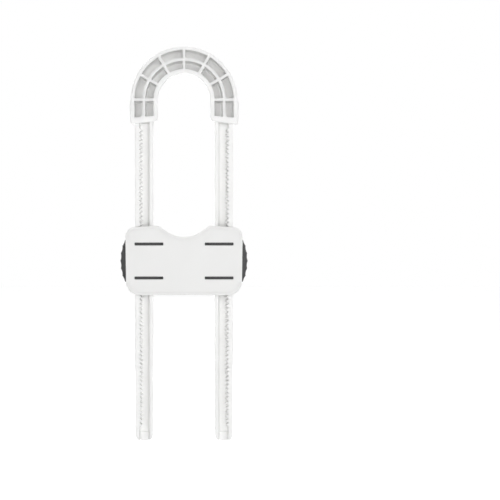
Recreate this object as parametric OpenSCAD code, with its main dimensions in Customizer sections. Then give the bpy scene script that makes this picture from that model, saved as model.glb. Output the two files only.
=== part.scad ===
// Cabinet safety lock: a toothed U-shaped shackle that goes round two knobs, and a slider that
// locks on its legs until both side buttons are pressed.
// Each piece is drawn lying on its back: x to the right, y up towards the bow, and z forwards
// from the plane of the bow's open back. The finished piece is then stood up, so that its front
// looks along -y. The bow's inner arc is centred on the origin.

/* [Bow] */
// Inside radius of the bow, where it sits round the knobs' stems
bow_in_r = 14.3; // [12:0.1:18]
// Width of the bow's section, from the inside of the arc to the outside
bow_w = 14.9; // [14:0.1:18]
// Depth of the bow, from its open back to the top of its rounded front
bow_depth = 12.5; // [12.2:0.1:15]
// How far the outer back edge of the bow is drawn in
bow_draft = 0.5; // [0.2:0.1:1]
// Height over which that edge is drawn in
bow_draft_h = 3.6; // [2:0.1:4.5]
// Length of the straight arm below the arc, at its outer side
arm_len = 13.3; // [11:0.1:18]
// How much shorter the arm is at its inner side
arm_slant = 1.3; // [0.5:0.1:2]
// Radius of the arm's inner bottom corner
arm_corner_r = 2.4; // [1:0.1:3.5]

/* [Cored back of the bow] */
// Thickness of the two rims beside the cells
rim_t = 2.3; // [1.5:0.1:3]
// Thickness of the curved rib between the two rows of cells
row_rib_t = 1.55; // [1:0.05:2.5]
// Thickness of the ribs across the bow
spoke_t = 1.5; // [1:0.1:2.5]
// Number of cells along the arc in each row
arc_cells = 6; // [4:1:8]
// Skin left in front of the cells
core_skin = 1.9; // [1.2:0.1:2.5]
// Closed end of the arm below its last cells
end_wall = 3.4; // [2:0.1:4.5]
// Chamfer at the inner bottom corner of the outer straight cell
cell_chamfer = 1.1; // [0.5:0.1:1.5]

/* [Legs] */
// Width of a leg
leg_w = 9.8; // [8.5:0.1:11]
// Depth of a leg
leg_depth = 8; // [7:0.1:9]
// Set-back of the legs from the bow's open back
leg_set = 1.2; // [1:0.1:2]
// Chamfer along the two front edges of a leg
leg_chamfer = 1.3; // [0.5:0.1:2]
// Wall that carries the teeth, at the bottom of the gullets
rack_wall = 2.3; // [1.6:0.1:2.6]
// Plain wall on the inner side of the channel
plain_wall = 2; // [1.4:0.1:2.2]
// Front skin below the channel
leg_skin = 3; // [2:0.1:3.4]
// Plain end of a leg below its last tooth
tip_len = 8; // [6:0.1:14]
// Corner radius of a leg's tip
tip_r = 3.9; // [2:0.1:4.2]
// Step by which the front skin thickens at the tip
tip_step = 1.1; // [0.5:0.1:1.3]
// Length of that thicker tip
tip_step_len = 4.6; // [3:0.1:5.5]

/* [Teeth] */
// Distance from one tooth to the next
tooth_pitch = 2.33; // [2:0.01:2.6]
// Height of a tooth
tooth_h = 1.2; // [0.8:0.05:1.4]
// Teeth on each leg
rack_teeth = 70; // [60:1:90]
// Teeth above the buttons' line with the slider where it is drawn
rest_teeth = 31; // [24:1:45]
// Plain stretch between the arm's end and the first gullet
rack_gap = 2; // [1:0.1:4]
// Teeth on each button's pawl
pawl_teeth = 7; // [5:2:7]
// Gap between the pawl's teeth and the leg's, across the leg
mesh_gap = 0.15; // [0.1:0.01:0.2]

/* [Housing outline] */
// Distance from a leg's outer side to the side of the housing beside it
housing_side = 5.15; // [4.95:0.05:7]
// How much narrower the housing is at its foot, on each side
foot_draw = 0.5; // [0:0.1:0.8]
// Height of the two lobes above the buttons' line
lobe_h = 19.2; // [18.6:0.1:21]
// How far the top drops from a lobe to its shoulder
shoulder_drop = 1.2; // [0.5:0.1:1.6]
// Depth of the foot below the buttons' line
foot_h = 18.6; // [18.2:0.1:21]
// Height of the notch's floor above the buttons' line
notch_floor = 13; // [12.4:0.1:14]
// Radius of the notch's floor
notch_r = 16.5; // [14:0.1:18]
// Slope of the notch's two flanks, in degrees
notch_slope = 35; // [30:1:38]
// Rounding between the notch and a lobe
lobe_r = 4; // [3.2:0.1:5]
// Radius of a shoulder
shoulder_r = 5.4; // [4:0.1:6]
// Radius of a foot corner
foot_r = 7.4; // [5:0.1:7.5]

/* [Housing walls] */
// Wall round the housing
shell_wall = 2.2; // [1.8:0.1:2.4]
// Rim of the front cover that shows round the back cover
seat_rim = 1.5; // [1:0.1:1.7]
// Thickness of the back cover
plate_t = 2.2; // [1.8:0.1:3]
// Seam between the two covers
seam = 0.12; // [0.1:0.01:0.2]
// Thickness of the front wall at its edge
face_t = 2.4; // [2:0.1:3]
// Rise of the front wall from its edge to its middle
face_crown = 1.2; // [0.6:0.1:2]
// Draft of the side walls
side_draft = 0.25; // [0.1:0.05:0.4]
// Chamfer round the back edge
back_chamfer = 0.35; // [0.2:0.05:0.5]
// Gap between a leg and what guides it
leg_gap = 0.3; // [0.2:0.05:0.4]
// Thickness of the ribs inside the housing
rib_t = 1.4; // [1:0.1:1.5]

/* [Finger scoops] */
// Radius of the upper scoop
top_scoop_r = 17.6; // [15:0.1:19]
// Depth of the upper scoop below the notch's floor, at the front
top_scoop_h = 6; // [4:0.1:6.5]
// Radius of the lower scoop
foot_scoop_r = 18; // [14:0.1:19]
// Height of the lower scoop above the foot, at the front
foot_scoop_h = 7.9; // [5:0.1:8]

/* [Buttons] */
// Half height of a button
button_half_h = 11.6; // [10:0.1:11.8]
// Bulge of a button beyond its ends
button_bulge = 2.4; // [2.2:0.1:3.5]
// How far the ends of a button stand out of the housing
button_stand = 0.3; // [0.2:0.1:0.6]
// Width of a button, front to back
button_depth = 8.7; // [7:0.1:8.7]
// Travel of a button
button_travel = 2.4; // [1.9:0.1:2.4]
// Grip ridges on a button
ridges = 5; // [3:2:7]
// Distance from ridge to ridge
ridge_pitch = 4.15; // [3:0.05:4.3]
// Height of a ridge above the pad's arc
ridge_h = 0.3; // [0.2:0.02:0.4]
// Depth of the hollows between the ridges' crests
ridge_dip = 0.42; // [0.2:0.02:0.5]
// Clearance of a button in its window
window_gap = 0.3; // [0.2:0.05:0.4]
// Running gap on the flat faces of the buttons' arms
slide_gap = 0.2; // [0.15:0.05:0.3]
// Thickness of a button's arm, which crosses behind the leg
arm_t = 1.8; // [1.4:0.1:2.4]
// Half height of that arm
arm_half_h = 10.6; // [10.2:0.1:10.8]
// Thickness of the pawl behind its teeth
pawl_t = 1.45; // [1:0.05:1.45]
// Reach of the pawl into the leg's channel
pawl_reach = 3.7; // [3:0.1:3.7]

/* [Slots] */
// Distance of each slot from the buttons' line
slot_off = 9.2; // [8.8:0.1:9.4]
// Length of a slot
slot_len = 15.7; // [15:0.1:16]
// Width of a slot
slot_w = 1.6; // [1.4:0.1:1.8]
// Corner radius of a slot
slot_r = 0.35; // [0.2:0.05:0.6]
// Gap left at each end of a rib in its slot
stop_gap = 0.1; // [0.05:0.05:0.2]
// Clearance of a rib across its slot
slot_gap = 0.2; // [0.15:0.05:0.3]
// How far the ribs stay below the back cover's face
rib_sink = 0.8; // [0.4:0.1:1.2]

/* [Springs] */
// Outside radius of a spring
spring_r = 2.5; // [2:0.1:2.6]
// Diameter of its wire
wire_d = 0.5; // [0.4:0.05:0.6]
// Turns of a spring
spring_turns = 6.5; // [5:0.5:7]
// Thickness of the post that a spring pushes
post_t = 1.5; // [1.2:0.1:2]
// Distance from a slot's inner end to the spring's post
post_inset = 0.7; // [0.5:0.1:1]
// Half thickness of the rib between the two springs
abutment_half_t = 0.9; // [0.7:0.1:1.2]
// Radius of the stub inside each end of a spring
stub_r = 1.6; // [1.2:0.1:1.6]
// Length of that stub
stub_len = 1.8; // [1:0.1:2]

/* [Pins] */
// Radius of the pins on the back cover
pin_r = 1.05; // [0.8:0.05:1.3]
// Clearance of a pin in its boss
pin_gap = 0.08; // [0.05:0.01:0.15]
// Length of a pin
pin_len = 4.5; // [3:0.1:6]
// Radius of the bosses in the front cover
boss_r = 2.6; // [2.2:0.1:2.8]
// Distance of the pins from the middle
pin_x = 13.3; // [13:0.1:13.5]
// Distance of the upper pins from the lobes' top
pin_top = 5.3; // [4.8:0.1:5.4]
// Distance of the lower pins from the foot
pin_foot = 4; // [3.8:0.1:4.6]

/* [Hidden] */
$fn = 72;
over = 1;
half_turn = 180;
quarter_turn = 90;
arc_step = 9;
sides = [-1, 1];

bow_out_r = bow_in_r + bow_w;
bow_round = bow_w / 2;
bow_mid_r = bow_in_r + bow_round;
bow_shoulder = bow_depth - bow_round;
core_round = bow_round - core_skin;
cell_w = (bow_w - 2 * rim_t - row_rib_t) / 2;

leg_x = bow_mid_r;
leg_in = leg_x - leg_w / 2;
leg_out = leg_x + leg_w / 2;
leg_front = leg_set + leg_depth;
channel_floor = leg_front - leg_skin;
rack_face = leg_out - rack_wall;
rack_start = arm_len + rack_gap;
rack_end = rack_start + rack_teeth * tooth_pitch;
leg_end = rack_end + tip_len;
housing_half_w = leg_out + housing_side;
foot_half_w = housing_half_w - foot_draw;
button_line = rack_start + rest_teeth * tooth_pitch;

arm_front = leg_set - slide_gap;
arm_back = arm_front - arm_t;
plate_in = arm_back - slide_gap;
plate_out = plate_in - plate_t;
face_in = leg_front + leg_gap;
face_edge = face_in + face_t;
window_half_h = button_half_h + window_gap;
window_front = arm_back + button_depth + window_gap;

pad_in = leg_out + leg_gap + button_travel;
pad_end = housing_half_w + button_stand;
pad_r = (pow(button_half_h, 2) + pow(button_bulge, 2)) / (2 * button_bulge);
slot_end = leg_out + slide_gap;
slot_start = slot_end - slot_len;
rib_half_w = slot_w / 2 - slot_gap;
rib_back = plate_out + rib_sink;
post_in = slot_start + post_inset;
pawl_tip = rack_face - mesh_gap;
pawl_root = pawl_tip - tooth_h;
spring_z = (arm_front + face_in) / 2;
spring_len = post_in - abutment_half_t - 2 * stop_gap;

scoop_run = face_edge - plate_in;
top_tilt = atan(top_scoop_h / scoop_run);
foot_tilt = atan(foot_scoop_h / scoop_run);
pin_places = [[pin_x, lobe_h - pin_top], [pin_x, pin_foot - foot_h]];

notch_vertex = notch_floor - notch_r * (1 / cos(notch_slope) - 1);
lobe_x = (lobe_h - notch_vertex) / tan(notch_slope);
// Corners of the housing, as [x, y, radius], with the buttons' line at y = 0
housing_corners = [
    [foot_half_w, -foot_h, foot_r],
    [housing_half_w, lobe_h - shoulder_drop, shoulder_r],
    [lobe_x, lobe_h, lobe_r],
    [0, notch_vertex, notch_r],
    [-lobe_x, lobe_h, lobe_r],
    [-housing_half_w, lobe_h - shoulder_drop, shoulder_r],
    [-foot_half_w, -foot_h, foot_r]
];

function unit(v) = v / norm(v);

// An outline that runs anticlockwise round rounded corners, set in by inset all the way round
function outline(corners, inset) = [
    for (i = [0:len(corners) - 1])
        each rounded_corner(
            corners[(i + len(corners) - 1) % len(corners)],
            corners[i],
            corners[(i + 1) % len(corners)],
            inset
        )
];

// The arc at one corner, which bulges outwards at a left turn and inwards at a right turn
function rounded_corner(before, corner, after, inset) =
    let (
        p = [corner.x, corner.y],
        r = corner.z,
        u = unit([before.x, before.y] - p),
        w = unit([after.x, after.y] - p),
        half = acos(u * w) / 2,
        middle = p + unit(u + w) * r / sin(half),
        first = p + u * r / tan(half) - middle,
        start = atan2(first.y, first.x),
        turn = cross(-u, w) > 0 ? 1 : -1,
        sweep = turn * (half_turn - 2 * half),
        steps = r > 0 ? ceil(abs(sweep) / arc_step) : 0
    )
    [for (k = [0:steps]) middle + (r - turn * inset) * heading(start + sweep * k / max(steps, 1))];

function heading(angle) = [cos(angle), sin(angle)];

// A closed skin through rings of equally many points, from the lowest ring to the highest
module loft(rings) {
    n = len(rings[0]);
    last = len(rings) - 1;
    polyhedron(
        points = [for (ring = rings) each ring],
        faces = [
            [for (i = [0:n - 1]) i],
            for (k = [0:last - 1], i = [0:n - 1]) each [
                [k * n + i, (k + 1) * n + i, k * n + (i + 1) % n],
                [k * n + (i + 1) % n, (k + 1) * n + i, (k + 1) * n + (i + 1) % n]
            ],
            [for (i = [n - 1:-1:0]) last * n + i]
        ]
    );
}

module upright() {
    rotate([quarter_turn, 0, 0]) children();
}

module at_buttons() {
    translate([0, -button_line, 0]) children();
}

module both_sides() {
    children();
    mirror([1, 0, 0]) children();
}

// A block given by its lowest and highest corner
module block(low, high) {
    translate(low) cube(high - low);
}

// Section of the bow, with the distance from its centre across and its depth upwards
module bow_section() {
    polygon([
        [bow_in_r, 0],
        [bow_out_r - bow_draft, 0],
        [bow_out_r, bow_draft_h],
        [bow_out_r, bow_shoulder],
        [bow_in_r, bow_shoulder]
    ]);
    intersection() {
        translate([bow_mid_r, bow_shoulder]) circle(bow_round);
        translate([bow_in_r - over, bow_shoulder]) square([bow_w + 2 * over, bow_depth]);
    }
}

// Section of the two rows of cells, whose floors follow the rounded front
module core_section() {
    intersection() {
        union() {
            translate([bow_in_r, -over]) square([bow_w, bow_shoulder + over]);
            translate([bow_mid_r, bow_shoulder]) circle(core_round);
        }
        for (x = [bow_in_r + rim_t, bow_mid_r + row_rib_t / 2])
            translate([x, -over]) square([cell_w, bow_depth + over]);
    }
}

module down_the_arm(length) {
    rotate([quarter_turn, 0, 0]) linear_extrude(length) children();
}

// A straight arm, with a slanted end and a rounded inner corner
module arm() {
    intersection() {
        down_the_arm(arm_len) bow_section();
        linear_extrude(bow_depth) polygon(outline([
            [bow_in_r, 0, 0],
            [bow_in_r, arm_slant - arm_len, arm_corner_r],
            [bow_out_r, -arm_len, 0],
            [bow_out_r, 0, 0]
        ], 0));
    }
}

// The two straight cells of an arm, with slanted ends
module arm_cells() {
    slant = arm_slant / bow_w;
    foot = end_wall - arm_len;
    outer = bow_mid_r + row_rib_t / 2;
    intersection() {
        down_the_arm(arm_len) core_section();
        translate([0, 0, -over]) linear_extrude(bow_depth + over) polygon([
            [bow_in_r, -spoke_t / 2],
            [bow_in_r, foot + slant * bow_w],
            [outer - row_rib_t / 2, foot + slant * bow_round],
            [outer, foot + slant * bow_round + cell_chamfer],
            [outer + cell_chamfer, foot + slant * (bow_round - cell_chamfer)],
            [bow_out_r, foot],
            [bow_out_r, -spoke_t / 2]
        ]);
    }
}

module arc_cells_cut() {
    difference() {
        rotate_extrude(angle = half_turn) core_section();
        for (k = [0:arc_cells])
            rotate([0, 0, half_turn * k / arc_cells])
            block([0, -spoke_t / 2, -bow_depth], [bow_out_r, spoke_t / 2, bow_depth]);
    }
}

// Section of a leg, grown by a gap where it is the hole that a leg runs in
module leg_section(gap = 0) {
    polygon([
        [leg_in - gap, leg_set - gap],
        [leg_out + gap, leg_set - gap],
        [leg_out + gap, leg_front - leg_chamfer],
        [leg_out - leg_chamfer, leg_front + gap],
        [leg_in + leg_chamfer, leg_front + gap],
        [leg_in - gap, leg_front - leg_chamfer]
    ]);
}

module leg_plan() {
    translate([leg_in, tip_r - leg_end]) square([leg_w, leg_end]);
    translate([leg_in + tip_r, -leg_end]) square([leg_w - 2 * tip_r, 2 * tip_r]);
    for (x = [leg_in + tip_r, leg_out - tip_r])
        translate([x, tip_r - leg_end]) circle(tip_r);
}

// A channelled leg: the teeth stand on the inside of its outer wall
module leg() {
    top = end_wall / 2 - arm_len;
    step = tip_step_len - leg_end;
    difference() {
        intersection() {
            translate([0, top, 0]) down_the_arm(leg_end + top) leg_section();
            linear_extrude(leg_front) leg_plan();
        }
        block([leg_in + plain_wall, step, 0], [rack_face, 0, channel_floor]);
        block([leg_in + plain_wall, -leg_end - over, 0], [rack_face, 0, channel_floor - tip_step]);
    }
    translate([0, 0, leg_set]) linear_extrude(leg_depth - leg_skin + over) polygon([
        [rack_face + rack_wall / 2, -rack_start],
        for (k = [0:rack_teeth - 1]) each [
            [rack_face, -rack_start - k * tooth_pitch],
            [rack_face - tooth_h, -rack_start - (k + 1 / 2) * tooth_pitch]
        ],
        [rack_face, -rack_end],
        [rack_face + rack_wall / 2, -rack_end]
    ]);
}

// One moulding: the bow, its two arms and the two toothed legs
module shackle() {
    color("white") upright() difference() {
        union() {
            rotate_extrude(angle = half_turn) bow_section();
            both_sides() {
                arm();
                leg();
            }
        }
        arc_cells_cut();
        both_sides() arm_cells();
    }
}

function ring(inset, depth, share = 1) = [
    for (p = outline(housing_corners, inset)) [p.x * share, p.y * share, depth]
];

// Outer skin of the front cover: a drafted side, a rounded edge and a crowned front
module cover_skin() {
    edge_steps = 4;
    cap_shares = [0.85, 0.7, 0.5, 0.3, 0.1];
    loft(concat(
        [ring(back_chamfer, plate_out), ring(0, plate_out + back_chamfer)],
        [for (k = [0:edge_steps])
            let (lean = quarter_turn * k / edge_steps)
            ring(side_draft + face_t * (1 - cos(lean)), face_in + face_t * sin(lean))],
        [for (s = cap_shares)
            ring(side_draft + face_t, face_edge + face_crown * (1 - pow(s, 2)), s)]
    ));
}

// A slanted round scoop whose lowest line starts at height y on the seam
module scoop(y, r, tilt, grow = 0) {
    reach = 2 * scoop_run;
    translate([0, y, plate_in])
        rotate([tilt, 0, 0])
        translate([0, r * sign(tilt), -reach])
        cylinder(r = r + grow, h = 3 * reach);
}

module scoops(grow = 0) {
    scoop(notch_floor, top_scoop_r, top_tilt, grow);
    scoop(-foot_h, foot_scoop_r, -foot_tilt, grow);
}

// Everything that stands inside the front cover: guides, abutment, cradle and bosses
module cover_insides() {
    guide_back = arm_front + leg_gap;
    guide_x = leg_in - leg_gap;
    cradle_y = spring_r + 2 * slide_gap;
    block([-abutment_half_t, -cradle_y - rib_t, guide_back], [abutment_half_t, cradle_y + rib_t, face_edge]);
    translate([-abutment_half_t - stub_len, 0, spring_z])
        rotate([0, quarter_turn, 0])
        cylinder(r = stub_r, h = 2 * (abutment_half_t + stub_len));
    both_sides() {
        block([guide_x - rib_t, -foot_h, guide_back], [guide_x, lobe_h, face_edge]);
        for (y = [-cradle_y - rib_t, cradle_y])
            block([0, y, spring_z], [post_in - button_travel, y + rib_t, face_edge]);
        for (y = [-foot_h, window_half_h])
            block(
                [leg_out + leg_gap, y, guide_back],
                [leg_out + leg_gap + rib_t, y + foot_h - window_half_h, face_edge]
            );
        for (p = pin_places)
            translate([p.x, p.y, plate_in]) cylinder(r = boss_r, h = face_edge - plate_in);
    }
}

// The front half of the slider, with a rim at the back that takes the back cover
module front_cover() {
    color("whitesmoke") upright() at_buttons() difference() {
        cover_skin();
        difference() {
            translate([0, 0, plate_in - over])
                linear_extrude(face_in - plate_in + over)
                polygon(outline(housing_corners, shell_wall));
            scoops(shell_wall);
            cover_insides();
        }
        translate([0, 0, plate_out - over])
            linear_extrude(plate_t + over)
            polygon(outline(housing_corners, seat_rim));
        scoops();
        both_sides() {
            translate([0, lobe_h + over, 0]) down_the_arm(lobe_h + foot_h + 2 * over) leg_section(leg_gap);
            block(
                [leg_out + leg_gap, -window_half_h, plate_out - over],
                [housing_half_w + over, window_half_h, window_front]
            );
            for (p = pin_places)
                translate([p.x, p.y, plate_in - over])
                cylinder(r = pin_r + pin_gap, h = pin_len + leg_gap + over);
        }
    }
}

module slot() {
    w = slot_w - 2 * slot_r;
    l = slot_len - 2 * slot_r;
    translate([slot_r, 0, -over]) {
        block([-slot_r, -w / 2, 0], [l + slot_r, w / 2, plate_t + 2 * over]);
        block([0, -slot_w / 2, 0], [l, slot_w / 2, plate_t + 2 * over]);
        for (x = [0, l], y = [-w / 2, w / 2])
            translate([x, y, 0]) cylinder(r = slot_r, h = plate_t + 2 * over);
    }
}

// The flat back of the slider: it lies in the front cover's rim, and closes the buttons' windows
module back_cover() {
    ear_half_h = window_half_h - seam;
    color("white") upright() at_buttons() difference() {
        union() {
            translate([0, 0, plate_out]) linear_extrude(plate_t) {
                polygon(outline(housing_corners, seat_rim + seam));
                intersection() {
                    polygon(outline(housing_corners, 0));
                    both_sides() translate([leg_x, -ear_half_h])
                        square([housing_half_w - leg_x, 2 * ear_half_h]);
                }
            }
            both_sides() for (p = pin_places)
                translate([p.x, p.y, plate_in - plate_t / 2])
                cylinder(r = pin_r, h = plate_t / 2 + pin_len);
        }
        both_sides() for (y = [-slot_off, slot_off])
            translate([slot_start, y, plate_out]) slot();
    }
}

// Plan of the finger pad: an arc, hollowed between the grip ridges
module pad_plan() {
    crest_r = pad_r + ridge_h;
    step = asin(ridge_pitch / crest_r);
    chord = crest_r * sin(step / 2);
    hollow_r = (pow(chord, 2) + pow(ridge_dip, 2)) / (2 * ridge_dip);
    translate([pad_end + button_bulge - pad_r, 0]) difference() {
        intersection() {
            circle(crest_r);
            translate([pad_in - pad_end - button_bulge + pad_r, -button_half_h])
                square([crest_r, 2 * button_half_h]);
        }
        for (k = [0:ridges])
            rotate((k - ridges / 2) * step)
            translate([crest_r * cos(step / 2) - ridge_dip + hollow_r, 0])
            circle(hollow_r);
    }
}

// Plan of the pawl, whose teeth point outwards into the leg's gullets
module pawl_plan() {
    half = pawl_teeth / 2;
    polygon([
        [pawl_root - pawl_t, -half * tooth_pitch],
        for (k = [0:pawl_teeth - 1]) each [
            [pawl_root, (k - half) * tooth_pitch],
            [pawl_tip, (k + 1 / 2 - half) * tooth_pitch]
        ],
        [pawl_root, half * tooth_pitch],
        [pawl_root - pawl_t, half * tooth_pitch]
    ]);
}

// One button: the pad, the arm behind the leg, the pawl in the leg's channel, the two ribs in the
// back cover's slots, and the post that the spring pushes
module button() {
    post_top = spring_z + spring_r;
    at_buttons() {
        translate([0, 0, arm_back]) linear_extrude(button_depth) pad_plan();
        block([slot_start + slide_gap, -arm_half_h, arm_back], [pad_in + over, arm_half_h, arm_front]);
        translate([0, 0, arm_back]) linear_extrude(arm_t + slide_gap + pawl_reach) pawl_plan();
        block([post_in, -spring_r, arm_back], [post_in + post_t, spring_r, post_top]);
        translate([post_in - stub_len, 0, spring_z])
            rotate([0, quarter_turn, 0])
            cylinder(r = stub_r, h = stub_len + post_t / 2);
        for (y = [-slot_off, slot_off])
            block(
                [slot_start + stop_gap + button_travel, y - rib_half_w, rib_back],
                [slot_end - stop_gap, y + rib_half_w, arm_front]
            );
    }
}

module right_button() {
    color("dimgray") upright() button();
}

module left_button() {
    color("dimgray") upright() mirror([1, 0, 0]) button();
}

turn_rings = 8;
wire_sides = 6;
coil_r = spring_r - wire_d / 2;
coil_rings = turn_rings * spring_turns;
coil_start = abutment_half_t + stop_gap + wire_d / 2;
coil_rise = (spring_len - wire_d) / coil_rings;

function radial(k) = [0, cos(k * 2 * half_turn / turn_rings), sin(k * 2 * half_turn / turn_rings)];
function coil_point(k) = [coil_start + k * coil_rise, 0, 0] + coil_r * radial(k);
function coil_ring(k) =
    let (
        n = radial(k),
        along = unit([turn_rings * coil_rise / (2 * PI), -coil_r * n.z, coil_r * n.y]),
        b = cross(along, n)
    )
    [for (i = [0:wire_sides - 1])
        let (h = heading(2 * half_turn * i / wire_sides))
        coil_point(k) + wire_d / 2 * (h.x * n + h.y * b)];

echo(least_gap_in_a_spring = min([for (k = [0:coil_rings - turn_rings])
    norm(coil_point(k + turn_rings) - coil_point(k)) - wire_d]));

// One compression spring, between the abutment and the button's post
module spring() {
    at_buttons() translate([0, 0, spring_z]) loft([for (k = [0:coil_rings]) coil_ring(k)]);
}

module right_spring() {
    color("silver") upright() spring();
}

module left_spring() {
    color("silver") upright() translate([0, -2 * button_line, 0]) rotate([0, 0, half_turn]) spring();
}

shackle();
front_cover();
back_cover();
left_button();
right_button();
left_spring();
right_spring();
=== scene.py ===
"""A cabinet safety lock on a plain pale stage: white moulded shackle and slider, dark grey side buttons."""
import math

import bmesh
import bpy
import numpy as np
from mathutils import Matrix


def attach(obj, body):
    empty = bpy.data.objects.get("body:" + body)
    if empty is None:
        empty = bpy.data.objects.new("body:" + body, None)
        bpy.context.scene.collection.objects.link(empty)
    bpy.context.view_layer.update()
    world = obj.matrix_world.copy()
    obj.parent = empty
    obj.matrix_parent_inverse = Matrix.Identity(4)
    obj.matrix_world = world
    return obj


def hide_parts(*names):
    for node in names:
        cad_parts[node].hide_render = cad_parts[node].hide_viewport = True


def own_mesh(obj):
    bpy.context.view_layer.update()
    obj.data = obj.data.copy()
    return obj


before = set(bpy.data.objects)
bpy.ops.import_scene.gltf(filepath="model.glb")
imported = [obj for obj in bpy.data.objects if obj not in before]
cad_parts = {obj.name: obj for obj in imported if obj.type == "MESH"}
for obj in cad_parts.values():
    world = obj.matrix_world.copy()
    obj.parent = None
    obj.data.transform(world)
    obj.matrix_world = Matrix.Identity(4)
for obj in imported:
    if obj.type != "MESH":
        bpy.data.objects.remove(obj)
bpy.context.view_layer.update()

# The bow goes round the stem of the first knob. It is the top of one white polypropylene moulding,
# rounded at the front, and cored from the back into two rows of cells so that its thick section
# cools without sinking. Two short straight arms end it.
mm = 0.001
quarter = math.pi / 2
bow_in = 14.3
bow_out = 29.2
bow_depth = 12.5
bow_mid = (bow_in + bow_out) / 2
bow_round = (bow_out - bow_in) / 2
bow_shoulder = bow_depth - bow_round
outer_draft = 0.5
outer_draft_depth = 3.6
rim = 2.3
row_rib = 1.55
spoke = 1.5
arc_cells = 6
spokes_apart = math.pi / arc_cells
core_skin = 1.9
arm_length = 13.3
arm_slant = 1.3
arm_corner = 2.4
end_wall = 3.4
cell_chamfer = 1.1
arm_swell = 0.6
swell_rise = 1.4
swell_fall = 2.6
swell_end = 0.6
bow_edge = 0.3
rib_edge = 0.12
cell_corner = 0.45
cell_draft = 0.12
same_point = 0.002


def spread(low, high, count):
    """Count even values from low to high, with both ends left out."""
    return np.linspace(low, high, count + 2)[1:-1]


def eased(share):
    """A share from 0 to 1, made to start and to end gently."""
    return share ** 2 * (3 - 2 * share)


def wall_profile(top_round, foot_round, draft, steps=4):
    """A wall from the top of a rib down to a floor: the distance from the rib's edge into the hollow, the
    drop below the rib's top or else the rise above the floor, and which of the two it is."""
    lean = np.linspace(0, quarter, steps + 1)
    along = np.concatenate([top_round * (np.sin(lean) - 1), draft + foot_round * (1 - np.cos(lean))])
    height = np.concatenate([top_round * (1 - np.cos(lean)), foot_round * (1 - np.sin(lean))])
    return along, height, np.arange(along.size) < lean.size


def edge_profile(radius, steps=4):
    """A rounded outer edge of a flat face: the distance inwards from the side, and the drop."""
    lean = np.linspace(0, quarter, steps + 1)
    return radius * (1 - np.cos(lean)), radius * (1 - np.sin(lean))


def lid_depth(height, on_top, floor):
    """Depth of a cored face: the drop where a line belongs to a rib, the floor less the rise elsewhere."""
    return np.where(on_top, height, floor - height)


def joined(parts):
    """Several tuples of arrays, end to end."""
    return [np.concatenate(part) for part in zip(*parts)]


def skin_mesh(rings, caps=()):
    """A closed skin: quads between neighbouring rings of equally many points, and the given cap faces.
    Points that meet are merged, and the faces are turned outwards."""
    count, around = rings.shape[:2]
    index = np.arange(count * around).reshape(count, around)
    here, after = index[:-1], index[1:]
    quads = np.stack([here, np.roll(here, -1, 1), np.roll(after, -1, 1), after], 2).reshape(-1, 4)
    faces = quads.tolist() + [index[ring][list(points)].tolist() for ring, points in caps]
    mesh = bpy.data.meshes.new("skin")
    mesh.from_pydata(rings.reshape(-1, 3).tolist(), [], faces)
    tidy = bmesh.new()
    tidy.from_mesh(mesh)
    bmesh.ops.remove_doubles(tidy, verts=tidy.verts, dist=same_point)
    bmesh.ops.dissolve_degenerate(tidy, edges=tidy.edges, dist=same_point / 2)
    bmesh.ops.recalc_face_normals(tidy, faces=tidy.faces)
    tidy.to_mesh(mesh)
    tidy.free()
    return mesh


def as_piece(name, meshes, up=0.0, side=1, crease=math.radians(38)):
    """One object from closed skins drawn in millimetres as x, depth towards the front, and height. It is
    lifted by up, and turned into its mirror image for the left side."""
    together = bmesh.new()
    for mesh in meshes:
        together.from_mesh(mesh)
        bpy.data.meshes.remove(mesh)
    whole = bpy.data.meshes.new(name)
    together.to_mesh(whole)
    together.free()
    points = np.empty(len(whole.vertices) * 3, np.float32)
    whole.vertices.foreach_get("co", points)
    points = (points.reshape(-1, 3) + [0, 0, up]) * [side * mm, -mm, mm]
    whole.vertices.foreach_set("co", points.ravel().astype(np.float32))
    if side > 0:
        whole.flip_normals()
    whole.shade_smooth()
    whole.set_sharp_from_angle(angle=crease)
    piece = bpy.data.objects.new(name, whole)
    bpy.context.scene.collection.objects.link(piece)
    weighted = piece.modifiers.new("weighted_normals", "WEIGHTED_NORMAL")
    weighted.keep_sharp = True
    return piece


def across_the_bow(floor_lines=7):
    """The lines that run round the bow on its back: radius, height, and whether each belongs to a rib."""
    along, height, on_top = wall_profile(rib_edge, cell_corner, cell_draft)
    inwards, drop = edge_profile(bow_edge)
    cell = (bow_out - bow_in - 2 * rim - row_rib) / 2
    parts = [(bow_in + inwards, drop, drop >= 0)]
    for low in (bow_in + rim, bow_mid + row_rib / 2):
        floor_at = spread(low + along[-1], low + cell - along[-1], floor_lines)
        parts.append((low + along, height, on_top))
        parts.append((floor_at, 0 * floor_at, floor_at < 0))
        parts.append(((low + cell - along)[::-1], height[::-1], on_top[::-1]))
    parts.append(((bow_out - outer_draft - inwards)[::-1], drop[::-1], drop >= 0))
    return joined(parts)


def round_the_bow(front_lines=36, side_lines=3):
    """The rest of the bow's section: a drafted outer side, half a circle, and a straight inner side."""
    lean = np.linspace(0, math.pi, front_lines + 1)
    down = spread(0, 1, side_lines)
    radius = [bow_out - outer_draft * (1 - down), bow_mid + bow_round * np.cos(lean), bow_in + 0 * down]
    depth = [
        bow_edge + (outer_draft_depth - bow_edge) * down,
        bow_shoulder + bow_round * np.sin(lean),
        bow_shoulder + (bow_edge - bow_shoulder) * down
    ]
    return np.concatenate(radius), np.concatenate(depth)


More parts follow.
